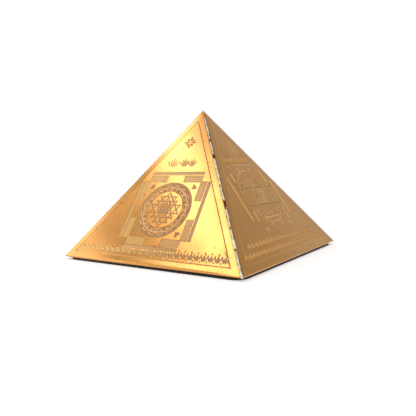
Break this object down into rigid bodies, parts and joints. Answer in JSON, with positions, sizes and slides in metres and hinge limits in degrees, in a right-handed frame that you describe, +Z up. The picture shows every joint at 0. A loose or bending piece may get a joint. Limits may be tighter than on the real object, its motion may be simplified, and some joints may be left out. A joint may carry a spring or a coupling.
{
  "type": "vastu pyramid",
  "caption": "Hollow square pyramid of gold-lacquered copper sheets with etched and struck yantras, soldered corners, an inner board and a dark recessed base pad.",
  "frame": {"origin": "centre of the base pad's underside, on the surface that the pyramid stands on, below the tip", "axes": "+Z up through the tip, +X towards the right sheet, -Y towards the front sheet, whose yantra is the etched one in the picture"},
  "size_m": [0.1, 0.1, 0.0715],
  "materials": {
    "gold_copper": "gold-lacquered copper, semi-polished, etched lines matte",
    "tin_solder": "drawn tin solder, warm silver, slightly uneven",
    "fibre_board": "raw fibre board",
    "dark_felt": "dense dark felt"
  },
  "bodies": {
    "root": {"front_sheet": "gold_copper", "right_sheet": "gold_copper", "back_sheet": "gold_copper", "left_sheet": "gold_copper", "front_right_seam": "tin_solder", "back_right_seam": "tin_solder", "back_left_seam": "tin_solder", "front_left_seam": "tin_solder", "tip_cap": "tin_solder", "base_board": "fibre_board", "base_pad": "dark_felt"}
  },
  "joints": []
}
